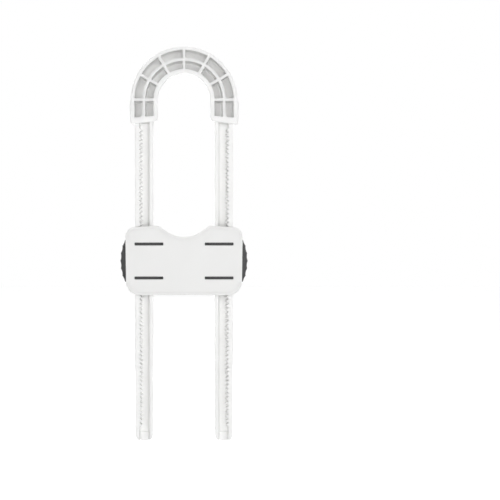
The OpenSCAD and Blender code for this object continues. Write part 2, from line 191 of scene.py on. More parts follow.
def bow_section(height, on_top):
    """Radius and depth of every point of the bow at stations with these wall heights. A cell's floor is a
    circle that leaves the same skin behind the rounded front, and ribs stand where either wall does."""
    line, line_height, line_top = across_the_bow()
    rest, rest_depth = round_the_bow()
    core = bow_round - core_skin
    floor = bow_shoulder + np.sqrt(np.maximum(core ** 2 - (line - bow_mid) ** 2, 0))
    at_station = lid_depth(height[:, None], on_top[:, None], floor)
    at_line = lid_depth(line_height, line_top, floor)
    outer_edge = np.abs(line - bow_mid) > bow_round - rim / 2
    back = np.where(outer_edge, at_line, np.minimum(at_station, at_line))
    every = np.ones((height.size, 1))
    return np.concatenate([line, rest]) * every, np.concatenate([back, rest_depth * every], 1)


def arc_rings(floor_stations=16):
    """The arc. A station beside a spoke keeps its distance from the spoke's middle plane, so its angle is
    the arc sine of that distance over the radius; the stations over a floor are spread between them."""
    along, height, on_top = wall_profile(rib_edge, cell_corner, cell_draft)
    beside = spoke / 2 + along
    free = spread(0, 1, floor_stations)
    parts = []
    for cell in range(arc_cells):
        parts.append((cell + 0 * beside, beside, 0 * beside, height, on_top))
        parts.append((cell + 0 * free, beside[-1] + 0 * free, free, 0 * free, free < 0))
        parts.append((cell + 0 * beside, beside[::-1], 1 + 0 * beside, height[::-1], on_top[::-1]))
    cell, beside, share, height, on_top = joined(parts)
    radius, depth = bow_section(height, on_top)
    start = cell[:, None] * spokes_apart + np.arcsin(beside[:, None] / radius)
    end = (cell[:, None] + 1) * spokes_apart - np.arcsin(beside[:, None] / radius)
    angle = start + (end - start) * share[:, None]
    return np.stack([radius * np.cos(angle), depth, radius * np.sin(angle)], 2)


def swell(up):
    """How far an arm's outer side stands out at a height: a step below the arc that fades near the end."""
    rise = np.clip(-up / swell_rise, 0, 1)
    fall = np.clip((arm_length - swell_end + up) / swell_fall, 0, 1)
    return arm_swell * eased(rise) * eased(fall)


def arm_rings(floor_stations=12, end_stations=14):
    """The right arm, from its end up to the first spoke. Each station's height is a weighted sum of three
    lines: the spoke's edge, the slanted end of the cells and the slanted end of the arm."""
    along, height, on_top = wall_profile(rib_edge, cell_corner, cell_draft)
    free, plain = spread(0, 1, floor_stations), spread(0, 1, end_stations)
    inwards, drop = edge_profile(bow_edge)
    parts = [
        (0 * along, 0 * along, -along, height, on_top, 0 * along),
        (free, 0 * free, (2 * free - 1) * along[-1], 0 * free, free < 0, 0 * free),
        (1 + 0 * along, 0 * along, along[::-1], height[::-1], on_top[::-1], 0 * along),
        (1 - plain, plain, (bow_edge + rib_edge) * plain - rib_edge, 0 * plain, plain > 0, 0 * plain),
        (0 * drop, 1 + 0 * drop, drop, 0 * drop, drop >= 0, inwards)
    ]
    to_cells, to_end, shift, height, on_top, drawn_in = joined(parts)
    radius, depth = bow_section(height, on_top)
    slant = arm_slant / (bow_out - bow_in) * (bow_out - radius)
    chamfer = np.clip(cell_chamfer - np.abs(radius - bow_mid - row_rib / 2), 0, cell_chamfer)
    chamfer = chamfer * (to_cells * (1 - to_end))[:, None]
    end = slant - arm_length
    up = end * (to_cells + to_end)[:, None] + (end_wall + chamfer) * to_cells[:, None]
    up = up - spoke / 2 * (1 - to_cells - to_end)[:, None] + shift[:, None]
    above = np.clip(arm_corner - (up - end), 0, arm_corner)
    corner = arm_corner - np.sqrt(arm_corner ** 2 - above ** 2)
    radius = radius + corner * (bow_out - radius) / (bow_out - bow_in)
    curve = bow_shoulder + np.sqrt(np.maximum(bow_round ** 2 - (radius - bow_mid) ** 2, 0))
    outside = np.arange(radius.shape[1]) >= across_the_bow()[0].size
    depth = np.where(outside & (depth > bow_shoulder), curve, depth)
    radius = radius + swell(up) * np.clip((radius - bow_out + rim) / rim, 0, 1)
    radius = radius + drawn_in[:, None] * (bow_mid - radius) / bow_round
    depth = depth + drawn_in[:, None] * (bow_depth / 2 - depth) / (bow_depth / 2)
    return np.stack([radius, depth, up], 2)[::-1]


right_arm = arm_rings()
left_arm = right_arm[::-1] * np.array([-1, 1, 1])
bow_rings = np.concatenate([right_arm, arc_rings(), left_arm])
whole_ring = range(bow_rings.shape[1])
bow_skin = skin_mesh(bow_rings, [(0, whole_ring), (-1, whole_ring)])

# The two legs hang from the arms in the same moulding. Each is an open channel at the back, with a rack
# of fine teeth moulded down its outer wall, chamfered front edges and a rounded tip, which is left open
# so that the slider can be threaded on from below.
leg_x = bow_mid
leg_half = 4.9
leg_set = 1.2
leg_front = 9.2
leg_chamfer = 1.3
leg_edge = 0.22
chamfer_edge = 0.5
inner_wall = 2.9
rack_wall = 2.6
channel_floor = 6.2
tip_floor = 5.1
tip_step = 181.8
step_ramp = 0.2
step_lead = 0.25
step_span = 0.3
leg_top = 11.6
tip_round = 3.9
leg_end = 186.4
rack_start = 15.3
tooth_pitch = 2.33
tooth_height = 1.2
tooth_soft = 0.8
teeth = 70
channel_edge = 0.16
channel_corner = 0.8
channel_draft = 0.2
plain_above = 0.4
plain_below = 1.2
rack_end = rack_start + teeth * tooth_pitch
tooth_stations = (0, 0.1, 0.42, 0.5, 0.58, 0.9)
both_sides = (-1, 1)


def rounded(corners, steps=5):
    """Points of an open path whose inner corners are arcs: each corner is x, y and its radius."""
    points = []
    for before, here, after in zip([None] + corners[:-1], corners, corners[1:] + [None]):
        p = np.array(here[:2], float)
        if before is None or after is None or here[2] == 0:
            points.append(p[None, :])
            continue
        back = np.array(before[:2]) - p
        on = np.array(after[:2]) - p
        back, on = back / np.hypot(*back), on / np.hypot(*on)
        half = math.acos(np.clip(back @ on, -1, 1)) / 2
        middle = p + (back + on) / np.hypot(*(back + on)) * here[2] / math.sin(half)
        first = p + back * here[2] / math.tan(half) - middle
        turn = 1 if back[0] * on[1] - back[1] * on[0] < 0 else -1
        sweep = turn * (math.pi - 2 * half)
        angle = math.atan2(first[1], first[0]) + sweep * np.linspace(0, 1, steps + 1)
        points.append(middle + here[2] * np.stack([np.cos(angle), np.sin(angle)], 1))
    return np.concatenate(points)


def tooth(down):
    """How far the rack stands into the channel at a distance down the leg: a triangle wave whose crests and
    roots are softened, as the arc sine of a sine a little under one."""
    phase = 2 * math.pi * (down - rack_start) / tooth_pitch
    wave = 0.5 - np.arcsin(tooth_soft * np.cos(phase)) / (2 * math.asin(tooth_soft))
    return np.where((down > rack_start) & (down < rack_end), tooth_height * wave, 0)


def leg_rings(steps=3, floor_lines=4, wall_lines=2, tip_stations=24):
    """The right leg from its top to its tip. Lines run down its back at fixed places across it, those of
    the rack's wall moved in by the teeth. Round the tip, a point that lies further than the tip's core
    line swings round it on a radius of its own, and the channel's lines stop at the outline."""
    along, height, on_top = wall_profile(channel_edge, channel_corner, channel_draft, steps)
    inwards, drop = edge_profile(leg_edge, steps)
    floor_at = spread(along[-1] - inner_wall, rack_wall - tooth_height - along[-1], floor_lines)
    edge, fixed, moved = 2, 0, 1
    across, height, on_top, kind = joined([
        (inwards - leg_half, drop, drop >= 0, edge + 0 * drop),
        (along - inner_wall, height, on_top, fixed + 0 * along),
        (floor_at, 0 * floor_at, floor_at > leg_half, fixed + 0 * floor_at),
        ((rack_wall - along)[::-1], height[::-1], on_top[::-1], moved + 0 * along),
        ((leg_half - inwards)[::-1], drop[::-1], drop >= 0, edge + 0 * drop)
    ])
    core = leg_half - tip_round
    side = rounded([
        [leg_half, leg_set + leg_edge, 0],
        [leg_half, leg_front - leg_chamfer, chamfer_edge],
        [leg_half - leg_chamfer, leg_front, chamfer_edge],
        [core, leg_front, 0]
    ], steps)[1:-1]
    walls = [[leg_half, depth] for depth in spread(leg_set + leg_edge, side[0, 1], wall_lines)]
    side = np.concatenate([walls, side])
    flat = spread(side[-1, 0], -side[-1, 0], steps)
    down = np.concatenate([
        [leg_top, rack_start - plain_above],
        (rack_start + tooth_pitch * (np.arange(teeth)[:, None] + np.array(tooth_stations))).ravel(),
        [rack_end, rack_end + plain_below],
        spread(tip_step - step_span, tip_step, steps),
        [leg_end - tip_round]
    ])
    swing = np.linspace(quarter, 0, tip_stations + 1)[1:]
    turn = np.concatenate([quarter + 0 * down, swing])[:, None]
    base = np.concatenate([down, leg_end - tip_round + 0 * swing])[:, None]
    z = base + tip_round * np.cos(turn)
    limit = core + tip_round * np.sin(turn)
    step = np.clip((z - tip_step + step_lead) / step_ramp, 0, 1)
    floor = channel_floor + (tip_floor - channel_floor) * step
    place = across - tooth(z) * (kind == moved)
    inner = np.clip(place, leg_edge - limit, limit - leg_edge)
    place = np.where(kind == edge, np.sign(across) * (limit - leg_half + np.abs(across)), inner)
    gone = np.where(across < 0, limit - leg_edge <= inner_wall, limit - leg_edge <= rack_wall)
    drop_here = np.where(kind == edge, height, 0)
    depth = np.where(gone, floor + drop_here, lid_depth(height, on_top, floor - leg_set) + leg_set)
    back = np.stack([place, depth, -z + 0 * place], 2)

    def swung(points, side_gone):
        """The side, chamfer or front, swung round the tip and kept in front of the floor where no rim is."""
        reach = np.minimum(np.abs(points[:, 0]), leg_half) - core
        reach = np.maximum(reach, side[-1, 0] - core)
        width = core + reach * np.sin(turn)
        share = np.abs(points[:, 0]) / (core + reach)
        deep = np.maximum(points[:, 1], np.where(side_gone, floor + leg_edge, 0))
        return np.stack([np.sign(points[:, 0]) * width * share, deep, -base - reach * np.cos(turn)], 2)

    mirrored = side[::-1] * np.array([-1, 1])
    front = np.stack([flat, leg_front + 0 * flat], 1)
    rings = [back, swung(side, gone[:, -1:]), swung(front, gone[:, -1:]), swung(mirrored, gone[:, :1])]
    return np.concatenate(rings, 1), across.size, len(side)


def carve(skin, tools, operation="DIFFERENCE"):
    """Closed skins taken out of a closed skin, or joined to it, as one closed skin."""
    base = bpy.data.objects.new("base", skin)
    bpy.context.scene.collection.objects.link(base)
    others = [bpy.data.objects.new("tool", tool) for tool in tools]
    for other in others:
        bpy.context.scene.collection.objects.link(other)
        step = base.modifiers.new("carve", "BOOLEAN")
        step.operation, step.solver, step.object = operation, "EXACT", other
    result = bpy.data.meshes.new_from_object(base.evaluated_get(bpy.context.evaluated_depsgraph_get()))
    for used in [base] + others:
        bpy.data.meshes.remove(used.data)
    return result


leg, lines, sides = leg_rings()
last = leg.shape[1] - 1
tip_faces = [(-1, [last] + list(range(lines + 1)))]
tip_faces += [(-1, [lines + k, lines + k + 1, last - k - 1, last - k]) for k in range(sides - 2)]
tip_faces += [(-1, range(lines + sides - 2, last - sides + 3))]
leg_caps = [(0, range(last + 1))] + tip_faces
leg_skins = [skin_mesh((leg + [leg_x, 0, 0]) * [side, 1, 1], leg_caps) for side in both_sides]

shackle = as_piece("shackle_moulding", [carve(bow_skin, leg_skins, "UNION")])
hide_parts("shackle")
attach(shackle, "shackle")

# The material of the shackle: white polypropylene, injection moulded in a polished tool. It gives an even
# gloss over a faint orange peel, with the least unevenness in the white itself.


def linear(code):
    """An sRGB colour written as #RRGGBB, in linear light, with full cover."""
    srgb = [int(code[k:k + 2], 16) / 255 for k in (1, 3, 5)]
    return [c / 12.92 if c <= 0.04045 else ((c + 0.055) / 1.055) ** 2.4 for c in srgb] + [1]


def add(tree, kind, settings=(), links=()):
    """One node of a kind. A setting is the name of a socket or of a property, with its value, and a link is
    the name or number of a socket, with the output that feeds it."""
    node = tree.nodes.new(kind)
    for key, value in dict(settings).items():
        if key in node.inputs:
            node.inputs[key].default_value = value
        else:
            setattr(node, key, value)
    for key, output in dict(links).items():
        tree.links.new(node.inputs[key], output)
    return node


polypropylene_ior = 1.49
patch_mm = 14
polish_mm = 5


def moulded(name, colours, gloss, peel, grain, clear_mm):
    """A moulded plastic: two near colours in slow patches, a roughness that wanders over the tool's polish
    from the first to the second value of gloss, and a bump of the melt's orange peel with a finer grain on
    it, each given as its width and height in millimetres. Light goes clear_mm deep into it."""
    material = bpy.data.materials.new(name)
    material.use_nodes = True
    tree = material.node_tree
    shader = tree.nodes["Principled BSDF"]
    shader.inputs["IOR"].default_value = polypropylene_ior
    shader.inputs["Subsurface Weight"].default_value = 1.0 if clear_mm else 0.0
    shader.inputs["Subsurface Radius"].default_value = (1, 1, 1)
    shader.inputs["Subsurface Scale"].default_value = clear_mm * mm
    place = add(tree, "ShaderNodeTexCoord").outputs["Object"]
    patch = add(tree, "ShaderNodeTexNoise", {"Scale": 1 / (patch_mm * mm), "Detail": 2.0}, {"Vector": place})
    tint = add(tree, "ShaderNodeMix", {"data_type": "RGBA"}, {"Factor": patch.outputs["Fac"]})
    tint.inputs["A"].default_value = linear(colours[0])
    tint.inputs["B"].default_value = linear(colours[1])
    tree.links.new(shader.inputs["Base Color"], tint.outputs["Result"])
    polish = add(tree, "ShaderNodeTexNoise", {"Scale": 1 / (polish_mm * mm), "Detail": 4.0},
                 {"Vector": place})
    rough = add(tree, "ShaderNodeMapRange", {"To Min": gloss[0], "To Max": gloss[1]},
                {"Value": polish.outputs["Fac"]})
    tree.links.new(shader.inputs["Roughness"], rough.outputs["Result"])
    ripple = add(tree, "ShaderNodeTexNoise", {"Scale": 1 / (peel[0] * mm), "Detail": 1.0}, {"Vector": place})
    waves = add(tree, "ShaderNodeBump", {"Strength": 1.0, "Distance": peel[1] * mm},
                {"Height": ripple.outputs["Fac"]})
    speck = add(tree, "ShaderNodeTexNoise", {"Scale": 1 / (grain[0] * mm), "Detail": 2.0}, {"Vector": place})
    bump = add(tree, "ShaderNodeBump", {"Strength": 1.0, "Distance": grain[1] * mm},
               {"Height": speck.outputs["Fac"], "Normal": waves.outputs["Normal"]})
    tree.links.new(shader.inputs["Normal"], bump.outputs["Normal"])
    return material


gloss_white = moulded("gloss_white_polypropylene", ("#F6F6F5", "#F3F3F2"), gloss=(0.34, 0.44),
                      peel=(1.6, 0.006), grain=(0.35, 0.0008), clear_mm=2.2)
shackle.data.materials.append(gloss_white)

# The slider's front cover, a shallow box of white polypropylene moulded in one piece. Its face is crowned
# and its edge is soft, a finger scoop is sunk into its top and its foot, the legs run through it, and the
# buttons' windows open its sides. Ribs, stops and bosses stand inside.
button_line = -87.53
plate_out = -3.2
plate_in = -1.0
face_in = 9.5
face_edge = 11.9
side_draft = 0.25
face_crown = 1.2
face_middle = 0.04
back_round = 0.35
shell_wall = 2.2
seat_rim = 1.5
housing_half = 31.8
foot_half = 31.3
foot_down = -18.6
foot_round = 7.4
shoulder_up = 18.0
shoulder_round = 5.4
lobe_across = 14.057
lobe_up = 19.2
lobe_round = 4.0
notch_corner_up = 9.357
notch_radius = 16.5
housing = np.array([
    [foot_half, foot_down, foot_round],
    [housing_half, shoulder_up, shoulder_round],
    [lobe_across, lobe_up, lobe_round],
    [0, notch_corner_up, notch_radius],
    [-lobe_across, lobe_up, lobe_round],
    [-housing_half, shoulder_up, shoulder_round],
    [-foot_half, foot_down, foot_round]
])
side_lean = (housing_half - foot_half) / (shoulder_up - foot_down)
scoop_foot = 6.0
scoop_rise = 9.5
scoop_half = 16.2
scoop_slope = 0.8
scoop_fade = 0.85
crescent_top = -10.85
crescent_high = 7.75
crescent_half = 15.0
crescent_slope = 0.8
scoop_edge = 0.6
leg_gap = 0.3
window_in = 26.95
window_half = 11.9
window_back = plate_out - 3
window_front = 8.2
window_corner = 0.6
hole_back_corner = 0.3
hole_front_corner = 0.5
mouth_round = 0.22
bar_edge = 0.2
guide_in = 15.15
guide_out = 16.5
guide_down = -17.5
guide_up = 17.0
guide_back = 1.3
guide_front = 10.0
rib_front = 10.5
abutment_half = 0.9
cradle_up = 4.3
cradle_wall = 1.4
cradle_half = 9.45
spring_depth = 5.25
stub_radius = 1.6
abutment_stub = 2.7
end_stop_out = 28.35
end_stops = ((-15.8, -12.0), (12.0, 16.2))
boss_radius = 2.6
boss_gap = 0.02
pin_radius = 1.05
pin_front = 3.5
pin_across = 13.3
pins_up = (13.9, -14.6)
wall_bite = 0.9
least_blend = 0.001
overshoot = 1


def at_corners(p):
    """At each corner of a closed path: the unit vectors back along it and along the corner's bisector, half
    the corner's angle, and which way the path turns."""
    back, on = np.roll(p, 1, 0) - p, np.roll(p, -1, 0) - p
    back, on = back / np.hypot(*back.T)[:, None], on / np.hypot(*on.T)[:, None]
    half = np.arccos(np.clip(np.sum(back * on, 1), -1, 1)) / 2
    bisector = (back + on) / np.hypot(*(back + on).T)[:, None]
    turn = np.sign(back[:, 1] * on[:, 0] - back[:, 0] * on[:, 1])
    return back, bisector, half, turn


def outline(corners, steps):
    """A closed path with round corners, anticlockwise, and the unit vectors that point out of it. Each
    corner is x, y and radius; its arc's centre is that radius over the sine of half the corner's angle
    away from it, on the bisector."""
    p, radius = corners[:, :2], corners[:, 2]
    back, bisector, half, turn = at_corners(p)
    middle = p + bisector * (radius / np.sin(half))[:, None]
    first = p + back * (radius / np.tan(half))[:, None] - middle
    start = np.arctan2(first[:, 1], first[:, 0])
    angle = start[:, None] + (turn * (math.pi - 2 * half))[:, None] * np.linspace(0, 1, steps + 1)
    heading = np.stack([np.cos(angle), np.sin(angle)], 2)
    points = middle[:, None] + radius[:, None, None] * heading
    return points.reshape(-1, 2), (turn[:, None, None] * heading).reshape(-1, 2)


def evenly(points, normals, count):
    """The same outline at even steps of its length, interpolated between its points."""
    table = np.concatenate([points, normals], 1)
    table = np.concatenate([table, table[:1]])
    length = np.concatenate([[0], np.cumsum(np.hypot(*np.diff(table[:, :2], axis=0).T))])
    at = np.linspace(0, length[-1], count + 1)[:-1]
    found = np.stack([np.interp(at, length, column) for column in table.T], 1)
    return found[:, :2], found[:, 2:] / np.hypot(*found[:, 2:].T)[:, None]


def pressed_in(x, up):
    """How far the two finger scoops are pressed into the front at a place. Each is a slope times the distance
    past its edge, softened where it starts. The upper edge line is half an ellipse, and that scoop fades out
    towards its half width. The crescent's edge line is a parabola."""
    share = np.clip(np.abs(x) / scoop_half, 0, 1)
    upper = up - scoop_foot - scoop_rise * (1 - np.sqrt(1 - share ** 2))
    fade = np.clip((1 - share) / scoop_fade, 0, 1)
    lower = crescent_top - crescent_high * (x / crescent_half) ** 2 - up
    total = 0
    for past, slope in ((upper, scoop_slope * eased(fade)), (lower, crescent_slope)):
        soft = np.clip(0.5 + 0.5 * past / scoop_edge, 0, 1)
        total = total + slope * (past * soft + scoop_edge * soft * (1 - soft))
    return total


def cover_rings(corner_steps=60, around=600, face_rings=44, edge_rings=10, side_rings=24, wall_rings=16):
    """The cover as one run of rings from the middle of its inner floor, up the inner wall, over the seat and
    the back rim, down the outer side and round the front edge to the middle of its crowned face. Each ring
    is the outline set in by an inset, shrunk to a share of its size, at a depth. Where the scoops are, no
    point stands further out than its front less their depth, and the edge there is a soft least of both."""
    plan, out = evenly(*outline(housing, corner_steps), around)
    share = np.linspace(1, face_middle, face_rings)
    lean = np.linspace(0, quarter, edge_rings)
    rim_in, rim_drop = edge_profile(back_round)
    side = np.linspace(plate_out + back_round, face_in, side_rings)
    drafted = side_draft * (side - side[0]) / (side[-1] - side[0])
    wall = np.linspace(face_in, plate_in, wall_rings)
    front_round = face_edge - face_in
    share_in = share[::-3]
    parts = [
        (shell_wall + 0 * share_in, face_in + 0 * share_in, share_in, face_in + 0 * share_in),
        (shell_wall + 0 * wall, wall, 1 + 0 * wall, face_in + 0 * wall),
        (seat_rim + np.zeros(2), np.array([plate_in, plate_out]), np.ones(2), face_edge + np.zeros(2)),
        (rim_in[::-1], plate_out + rim_drop[::-1], 1 + 0 * rim_in, face_edge + 0 * rim_in),
        (drafted, side, 1 + 0 * side, face_edge + 0 * side),
        (side_draft + front_round * (1 - np.cos(lean)), face_in + front_round * np.sin(lean), 1 + 0 * lean,
         face_edge + 0 * lean),
        (side_draft + front_round + 0 * share, face_edge + face_crown * (1 - share ** 2), share,
         face_edge + face_crown * (1 - share ** 2))
    ]
    inset, depth, share, front = [part[:, None] for part in joined(parts)]
    flat = (plan[None] - out[None] * inset[..., None]) * share[..., None]
    scoop = pressed_in(flat[..., 0], flat[..., 1])
    over = np.clip(depth - front + scoop, -scoop_edge, scoop_edge)
    blend = np.clip(scoop, least_blend, scoop_edge)
    soft = blend / 4 * np.clip(1 - np.abs(over) / blend, 0, 1) ** 2
    depth = np.minimum(depth, front - scoop) - np.where(depth < front, soft, 0)
    return np.stack([flat[..., 0], depth, flat[..., 1]], 2)


def prism(corners, stations, grows, steps=4):
    """Rings of a round-cornered outline grown by an amount at each station along the third axis."""
    plan, out = outline(np.array(corners, float), steps)
    flat = plan[None] + out[None] * np.array(grows)[:, None, None]
    return np.concatenate([flat, np.array(stations, float)[:, None, None] + 0 * flat[..., :1]], 2)


def closed(rings):
    """A skin through rings with both end rings filled in."""
    ends = range(rings.shape[1])
    return skin_mesh(rings, [(0, ends), (-1, ends)])


def leg_hole(side):
    """The hole that a leg runs through: the leg's section grown by its gap, flared at both mouths. The upper
    mouth follows the slope of the lobe's top."""
    corners = [
        [leg_x - leg_half - leg_gap, leg_set - leg_gap, hole_back_corner],
        [leg_x + leg_half + leg_gap, leg_set - leg_gap, hole_back_corner],
        [leg_x + leg_half + leg_gap, leg_front - leg_chamfer, hole_front_corner],
        [leg_x + leg_half - leg_chamfer, leg_front + leg_gap, hole_front_corner],
        [leg_x - leg_half + leg_chamfer, leg_front + leg_gap, hole_front_corner],
        [leg_x - leg_half - leg_gap, leg_front - leg_chamfer, hole_front_corner]
    ]
    stations = [foot_down - overshoot, foot_down + mouth_round, shoulder_up - mouth_round,
                shoulder_up + overshoot]
    rings = prism(corners, stations, [overshoot + mouth_round, 0, 0, overshoot + mouth_round])
    slope = (lobe_up - shoulder_up) / (housing_half - lobe_across)
    rings[2:, :, 2] += (housing_half - rings[2:, :, 0]) * slope
    return closed(rings * [side, 1, 1])


def window(side):
    """The button's window in the side wall, flared where it meets the side, which leans in to the foot."""
    corners = [
        [-window_half, window_back, window_corner],
        [window_half, window_back, window_corner],
        [window_half, window_front, window_corner],
        [-window_half, window_front, window_corner]
    ]
    face = foot_half - side_draft / 2
    rings = prism(corners, [window_in, face - mouth_round, face + overshoot], [0, 0, overshoot + mouth_round])
    rings = rings[..., [2, 1, 0]]
    rings[1:, :, 0] += (rings[1:, :, 2] - foot_down) * side_lean
    return closed(rings * [side, 1, 1])


def bar(low, high, edge=bar_edge, steps=3):
    """A block with every edge rounded: rings round a core rectangle, whose reach beyond it rises and falls as
    a quarter circle at both ends."""
    low, high = np.array(low, float), np.array(high, float)
    inwards, drop = edge_profile(edge, steps)
    reach = edge - np.concatenate([inwards[::-1], inwards])
    depth = np.concatenate([low[1] + drop[::-1], high[1] - drop])
    angle = (np.arange(4)[:, None] * quarter + np.linspace(0, quarter, steps + 1)).ravel()
    core = np.repeat(np.array([[1, 1], [-1, 1], [-1, -1], [1, -1]]), steps + 1, 0)
    middle, half = (low + high) / 2, (high - low) / 2 - edge
    x = middle[0] + core[:, 0] * half[0] + np.outer(reach, np.cos(angle))
    up = middle[2] + core[:, 1] * half[2] + np.outer(reach, np.sin(angle))
    return closed(np.stack([x, depth[:, None] + 0 * x, up], 2))


across_first = (0, 1, 2)
into_depth = (1, 0, 2)


def peg(radius, low, high, edge, place, order, around=48):
    """A round pin from low to high along its first axis, with both rims rounded. The order says which of its
    axes runs across, towards the front and upwards, and place moves it."""
    inwards, drop = edge_profile(edge)
    along = np.concatenate([low + drop[::-1], high - drop])[:, None]
    reach = radius - np.concatenate([inwards[::-1], inwards])[:, None]
    angle = np.linspace(0, 2 * math.pi, around + 1)[:-1]
    rings = np.stack([along + 0 * angle, reach * np.cos(angle), reach * np.sin(angle)], 2)
    return closed(rings[..., list(order)] + np.array(place))


def ends_in_wall(skin):
    """A rib's skin with no point further forward than a little way into the cover's wall, scoops included."""
    points = np.empty(len(skin.vertices) * 3, np.float32)
    skin.vertices.foreach_get("co", points)
    points = points.reshape(-1, 3)
    wall = face_in + wall_bite - pressed_in(points[:, 0], points[:, 2])
    points[:, 1] = np.minimum(points[:, 1], wall)
    skin.vertices.foreach_set("co", points.ravel())
    return skin


def cover_ribs():
    """What stands inside the cover: the legs' inner guides, the wall between the springs with its two stubs,
    the springs' cradle, the stops beside the windows and the bosses for the back cover's pins."""
    ribs = [
        bar((-abutment_half, guide_back, -cradle_up), (abutment_half, rib_front, cradle_up)),
        peg(stub_radius, -abutment_stub, abutment_stub, bar_edge, (0, spring_depth, 0), across_first)
    ]
    for side in both_sides:
        across = sorted((side * guide_in, side * guide_out))
        ribs.append(bar((across[0], guide_back, guide_down), (across[1], guide_front, guide_up)))
        cradle = sorted((side * (cradle_up - cradle_wall), side * cradle_up))
        ribs.append(bar((-cradle_half, spring_depth, cradle[0]), (cradle_half, rib_front, cradle[1])))
        across = sorted((side * window_in, side * end_stop_out))
        ribs += [bar((across[0], guide_back, low), (across[1], rib_front, high)) for low, high in end_stops]
        ribs += [peg(boss_radius, plate_in + boss_gap, rib_front, bar_edge, (side * pin_across, 0, up),
                     into_depth) for up in pins_up]
    return [ends_in_wall(rib) for rib in ribs]


cover_skin = carve(closed(cover_rings()), cover_ribs(), "UNION")
pin_holes = [peg(pin_radius + boss_gap, plate_in - overshoot, pin_front + bar_edge, bar_edge,
                 (side * pin_across, 0, up), into_depth) for side in both_sides for up in pins_up]
cover_skin = carve(cover_skin, pin_holes + [hole(side) for side in both_sides for hole in (leg_hole, window)])
front_cover = as_piece("front_cover_moulding", [cover_skin], button_line)
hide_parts("front_cover")
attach(front_cover, "slider")

# The covers' material: the same white polypropylene out of a vapour-blasted tool, so its gloss is a satin
# one that spreads a lamp's reflection wide, with the tool's fine matt grain on it.
satin_white = moulded("satin_white_polypropylene", ("#F1F1F0", "#EEEEED"), gloss=(0.38, 0.48),
                      peel=(2.4, 0.008), grain=(0.3, 0.0016), clear_mm=0.3)
front_cover.data.materials.append(satin_white)

# The two springs behind the buttons, each wound cold from hard-drawn steel wire with its end turns closed.
# They sit end to end on stubs, and a button that is pushed in shortens the one behind it.
spring_start = 1.25
spring_run = 10.25
spring_turns = 6.5
coil_radius = 2.25
wire_radius = 0.25
closed_turns = 0.75
opening_turns = 0.6
closed_rise = 0.27


def spring_rings(flip, per_turn=36, round_wire=12):
    """A wire swept along a helix. The rise per turn is low over the closed end turns and higher between them,
    as a smooth step, and the rise is summed along the wire. The wire's circle stands across its tangent."""
    turns = np.linspace(0, spring_turns, int(spring_turns * per_turn) + 1)
    ramp = np.clip((np.minimum(turns, spring_turns - turns) - closed_turns) / opening_turns, 0, 1)
    rise = closed_rise + (1 - closed_rise) * eased(ramp)
    climb = np.concatenate([[0], np.cumsum((rise[1:] + rise[:-1]) / 2)])
    turn = 2 * math.pi * turns
    outwards = np.stack([0 * turn, np.cos(turn), np.sin(turn)], 1)
    line = coil_radius * outwards + np.outer(spring_start + spring_run * climb / climb[-1], [1, 0, 0])
    tangent = np.gradient(line, axis=0)
    tangent = tangent / np.linalg.norm(tangent, axis=1)[:, None]
    aside = np.cross(tangent, outwards)
    angle = np.linspace(0, 2 * math.pi, round_wire + 1)[:-1]
    wire = np.cos(angle)[:, None] * outwards[:, None] + np.sin(angle)[:, None] * aside[:, None]
    return (line[:, None] + wire_radius * wire) * [1, 1, flip] + [0, spring_depth, 0]


# The springs' material: hard-drawn spring steel, left bare. The die leaves a bright metal with lines finer
# than the wire, which break up its shine.
die_line_mm = 0.12
die_line_height_mm = 0.0015
steel = bpy.data.materials.new("drawn_spring_steel")
steel.use_nodes = True
steel_tree = steel.node_tree
steel_shader = steel_tree.nodes["Principled BSDF"]
steel_shader.inputs["Base Color"].default_value = linear("#B4B6B8")
steel_shader.inputs["Metallic"].default_value = 1.0
steel_place = add(steel_tree, "ShaderNodeTexCoord").outputs["Object"]
die_lines = add(steel_tree, "ShaderNodeTexNoise", {"Scale": 1 / (die_line_mm * mm), "Detail": 3.0},
                {"Vector": steel_place})
steel_rough = add(steel_tree, "ShaderNodeMapRange", {"To Min": 0.24, "To Max": 0.42},
                  {"Value": die_lines.outputs["Fac"]})
steel_tree.links.new(steel_shader.inputs["Roughness"], steel_rough.outputs["Result"])
steel_bump = add(steel_tree, "ShaderNodeBump", {"Distance": die_line_height_mm * mm},
                 {"Height": die_lines.outputs["Fac"]})
steel_tree.links.new(steel_shader.inputs["Normal"], steel_bump.outputs["Normal"])

for side, name in zip(both_sides, ("left", "right")):
    spring = as_piece(name + "_spring_wire", [closed(spring_rings(side))], button_line, side)
    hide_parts(name + "_spring")
    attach(spring, "slider")
    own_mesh(spring)
    spring.data.materials.append(steel)

# The two buttons, each one moulding of grey polypropylene: the finger pad with its grip ridges, the arm that
# crosses behind the leg, the toothed pawl in the leg's channel, two guide ribs and the post for the spring.
button_half = 11.6
pad_in = 29.35
pad_back = -0.8
pad_front = 7.9
pad_top = 34.5
pad_radius = 29.23
ridge_rise = 0.3
ridge_pitch = 4.15
ridge_dip = 0.36
ridges = 5
ridge_soft = 0.05
pad_round = 3.0
pad_drop = 1.7
pad_end_round = 0.7
arm_in = 11.35
arm_half = 10.6
arm_front = 1.0
pawl_root = 23.0
pawl_tip = 24.2
pawl_back = 1.45
pawl_front = 4.9
pawl_teeth = 7
post_in = 11.85
post_out = 13.35
stub_length = 1.8
rib_in = 13.65
rib_out = 26.75
rib_up = 9.2
rib_half = 0.6
rib_back = -2.4
pawl_shrink = 0.975
bite = 0.1
arm_bite = 0.6


